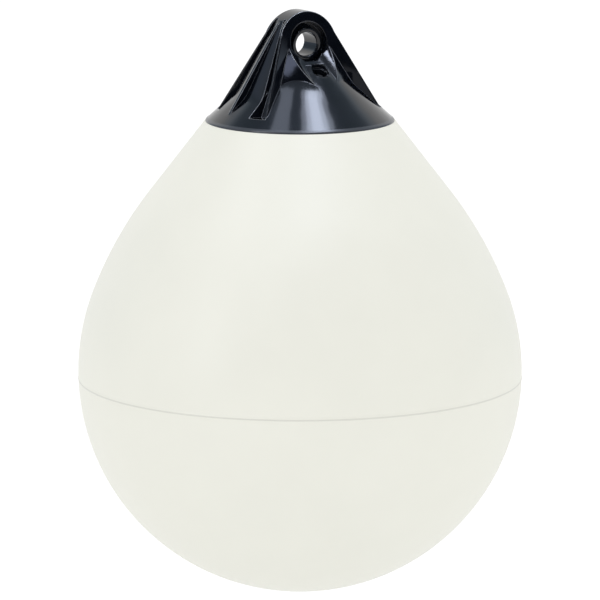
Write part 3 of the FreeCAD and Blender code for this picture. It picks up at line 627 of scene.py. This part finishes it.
class FENDER_OT_ball(bpy.types.Operator):
    """Ball: a sphere that draws in through a larger radius to a cone under the cap."""

    bl_idname = "fender.ball"
    bl_label = "Ball"

    def execute(self, context):
        sizes = context.scene.fender_ball
        colours = context.scene.fender_colours
        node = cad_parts["ball_body"]
        mesh = revolve("ball", self.profile(sizes), BALL_TURNS)
        finish_mesh(mesh, merge=1e-6, sharp=math.radians(35))
        piece = place(mesh, "ball_skin", white_vinyl_rotomoulded(colours, sizes))
        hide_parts(node.name)
        return {"FINISHED"}

    def profile(self, sizes):
        """Points (r, z) from the foot up: arc, parting line, arc, shoulder, cone, lip and lid.

        The parting line is a ridge that has half its height at either side of its middle. The
        shoulder's arc meets the lower one at one tangent. The lip stands 1.2 mm in from the ball's
        top edge, and the lid, 6 mm down, closes the ball under the cap.
        """
        centre = BALL_LOW.z + sizes.radius
        lean, neck = sizes.shoulder_start, sizes.neck_angle
        seam = math.asin(sizes.seam_drop / sizes.radius)
        half = sizes.seam_width / 2 / sizes.radius
        shoulder = ((sizes.radius - sizes.shoulder_radius) * math.cos(lean),
                    centre + (sizes.radius - sizes.shoulder_radius) * math.sin(lean))
        lower = arc((0, centre), sizes.radius, -math.pi / 2, -seam - half, 90)
        lower[0, 0] = 0
        ridge_angle = -seam + half * np.array([-0.5, 0, 0.5])
        ridge_radius = sizes.radius + sizes.seam_height * np.array([0.5, 1.0, 0.5])
        ridge = np.stack([ridge_radius * np.cos(ridge_angle),
                          centre + ridge_radius * np.sin(ridge_angle)], axis=1)
        side = arc((0, centre), sizes.radius, -seam + half, lean, 24)
        draw = arc(shoulder, sizes.shoulder_radius, lean, neck, 20)[1:]
        top = draw[-1, 1] + (draw[-1, 0] - sizes.rim_radius) / math.tan(neck)
        cone = np.linspace(draw[-1], (sizes.rim_radius, top), 24)[1:]
        lip_radius = sizes.rim_radius - 1.2 * MM
        lid = top - 6 * MM
        inner = np.array([(lip_radius, top), (lip_radius, top - 4 * MM),
                          (0.09, lid), (0.05, lid), (0.0, lid)])
        return np.vstack([lower, ridge, side, draw, cone, inner])


class FENDER_OT_cap(bpy.types.Operator):
    """Cap: the solid model's own surface, merged and smoothed, with a rounded-edge gloss."""

    bl_idname = "fender.cap"
    bl_label = "Cap"

    def execute(self, context):
        colours = context.scene.fender_colours
        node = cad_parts["rope_eye_cap"]
        mesh = node.data.copy()
        finish_mesh(mesh, merge=2e-5, sharp=math.radians(24))
        piece = place(mesh, "cap_moulding", navy_vinyl_moulded(colours, context.scene.fender_cap))
        flat = piece.modifiers.new("flat_faces_stay_flat", "WEIGHTED_NORMAL")
        flat.keep_sharp = True
        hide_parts(node.name)
        return {"FINISHED"}


class FENDER_OT_valve(bpy.types.Operator):
    """Valve: finishes for the sleeve, washer and screw down the hole under the eye."""

    bl_idname = "fender.valve"
    bl_label = "Valve"

    def execute(self, context):
        plastic = acetal_turned(context.scene.fender_colours)
        rubber = nitrile_rubber_pressed()
        finishes = (("valve_body", plastic), ("valve_screw", plastic), ("valve_seal", rubber))
        for name, material in finishes:
            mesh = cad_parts[name].data
            mesh.materials.clear()
            mesh.materials.append(material)
        return {"FINISHED"}


class FENDER_OT_stage(bpy.types.Operator):
    """Studio: white floor and world, soft lights, and the camera at the photograph's angle."""

    bl_idname = "fender.stage"
    bl_label = "Studio"

    def execute(self, context):
        scene = context.scene
        sizes, colours = scene.fender_stage, scene.fender_colours
        scene.view_settings.view_transform = "Standard"
        forward, right, aim = sight(sizes)
        level = Vector((forward.x, forward.y, 0)).normalized()
        self.floor(sizes, colours)
        self.world(scene, sizes)
        self.tent(sizes, level)
        self.lights(scene, level, right)
        self.camera(scene, sizes, forward, aim)
        return {"FINISHED"}

    def floor(self, sizes, colours):
        """Square floor below the hanging fender."""
        height = CAD_BOX[0].z - sizes.clearance
        corners = [(x * FLOOR_HALF, y * FLOOR_HALF, height)
                   for x, y in ((-1, -1), (1, -1), (1, 1), (-1, 1))]
        mesh = bpy.data.meshes.new("floor")
        mesh.from_pydata(corners, [], [(0, 1, 2, 3)])
        mesh.materials.append(studio_floor_painted(colours))
        floor = bpy.data.objects.new("studio_floor", mesh)
        bpy.context.scene.collection.objects.link(floor)

    def world(self, scene, sizes):
        """White background, and an even white light all round."""
        world = bpy.data.worlds.new("studio_world")
        scene.world = world
        world.use_nodes = True
        tree = world.node_tree
        tree.nodes.clear()
        white = linear("ffffff")
        dome = add(tree, "ShaderNodeBackground", Color=white, Strength=sizes.dome)
        seen = add(tree, "ShaderNodeBackground", Color=white, Strength=1.0)
        mixed = add(tree, "ShaderNodeMixShader", {"Fac": seen_rays(tree),
                                                  1: dome.outputs["Background"],
                                                  2: seen.outputs["Background"]})
        add(tree, "ShaderNodeOutputWorld", {"Surface": mixed.outputs["Shader"]})

    def tent(self, sizes, level):
        """Round cloth tent that only gloss shows: it darkens towards the camera, and is open
        behind the fender, where gloss shows the white background.

        A point is reach (sin u cos v, sin u sin v, -cos u), with u from pole to pole and v all
        round.
        """
        polar = np.linspace(0, math.pi, 33)
        profile = TENT_REACH * np.stack([np.sin(polar), -np.cos(polar)], axis=1)
        profile[[0, -1], 0] = 0
        mesh = revolve("tent", profile, TENT_TURNS)
        finish_mesh(mesh, merge=1e-4, sharp=math.radians(35))
        mesh.materials.append(studio_cloth_graded(sizes, level))
        tent = bpy.data.objects.new("studio_tent", mesh)
        bpy.context.scene.collection.objects.link(tent)
        for kind in ("camera", "diffuse", "shadow", "transmission", "volume_scatter"):
            setattr(tent, "visible_" + kind, False)

    def lights(self, scene, level, right):
        """Soft panels that show in the glossy cap.

        Each leans from overhead to the camera's right and tilts from there away from the camera.
        Panels in line stand a little apart, because coincident ones hide each other.
        """
        up = Vector((0, 0, 1))
        for number, (name, lean, tilt, width, length, radiance, code) in enumerate(LAMPS):
            turn, swing = math.radians(lean), math.radians(tilt)
            upward = up * math.cos(swing) + level * math.sin(swing)
            away = upward * math.cos(turn) + right * math.sin(turn)
            along = level * math.cos(swing) - up * math.sin(swing)
            across = along.cross(away)
            lamp = bpy.data.lights.new(name, "AREA")
            lamp.shape = "RECTANGLE"
            lamp.size, lamp.size_y = width, length
            lamp.energy = radiance * math.pi * width * length
            lamp.color = linear(code)[:3]
            holder = bpy.data.objects.new(name, lamp)
            scene.collection.objects.link(holder)
            spot = away * (LAMP_REACH + LAMP_APART * number)
            holder.matrix_world = Matrix((
                (across.x, along.x, away.x, spot.x),
                (across.y, along.y, away.y, spot.y),
                (across.z, along.z, away.z, spot.z),
                (0, 0, 0, 1),
            ))
            holder.visible_diffuse = False

    def camera(self, scene, sizes, forward, aim):
        """Camera whose lens gives the stated pixels per millimetre at its distance."""
        data = bpy.data.cameras.new("camera")
        holder = bpy.data.objects.new("camera", data)
        scene.collection.objects.link(holder)
        holder.location = aim - forward * sizes.distance
        holder.rotation_euler = forward.to_track_quat("-Z", "Y").to_euler()
        data.lens = data.sensor_width * sizes.scale * sizes.distance * 1000 / FRAME_WIDTH
        data.clip_end = 100
        scene.camera = holder


def sight(sizes):
    """Camera's forward and right directions and the point it looks at."""
    a, e = sizes.azimuth, sizes.elevation
    forward = Vector((math.sin(a) * math.cos(e), math.cos(a) * math.cos(e), -math.sin(e)))
    right = Vector((math.cos(a), -math.sin(a), 0))
    centre = BALL_LOW.z + bpy.context.scene.fender_ball.radius
    aim = Vector((0, 0, centre + sizes.rise / (sizes.scale * math.cos(e)) / 1000))
    return forward, right, aim


class FENDER_PT_panel(bpy.types.Panel):
    """Sidebar panel with the sizes, colours and the operators that build the fender."""

    bl_idname = "FENDER_PT_panel"
    bl_label = "Ball fender"
    bl_space_type = "VIEW_3D"
    bl_region_type = "UI"
    bl_category = "Ball fender"

    def draw(self, context):
        scene = context.scene
        for group in (scene.fender_ball, scene.fender_cap, scene.fender_colours,
                      scene.fender_stage):
            box = self.layout.box()
            for name in group.__annotations__:
                box.prop(group, name)
        for operator in OPERATORS:
            self.layout.operator(operator.bl_idname)


GROUPS = (BallSizes, CapSizes, FenderColours, StageSizes)
OPERATORS = (FENDER_OT_ball, FENDER_OT_cap, FENDER_OT_valve, FENDER_OT_stage)


def register():
    for item in GROUPS + OPERATORS + (FENDER_PT_panel,):
        bpy.utils.register_class(item)
    bpy.types.Scene.fender_ball = bpy.props.PointerProperty(type=BallSizes)
    bpy.types.Scene.fender_cap = bpy.props.PointerProperty(type=CapSizes)
    bpy.types.Scene.fender_colours = bpy.props.PointerProperty(type=FenderColours)
    bpy.types.Scene.fender_stage = bpy.props.PointerProperty(type=StageSizes)


def unregister():
    del bpy.types.Scene.fender_ball
    del bpy.types.Scene.fender_cap
    del bpy.types.Scene.fender_colours
    del bpy.types.Scene.fender_stage
    for item in reversed(GROUPS + OPERATORS + (FENDER_PT_panel,)):
        bpy.utils.unregister_class(item)


def main():
    register()
    for name in ("ball", "cap", "valve", "stage"):
        getattr(bpy.ops.fender, name)()


if __name__ == "__main__":
    main()
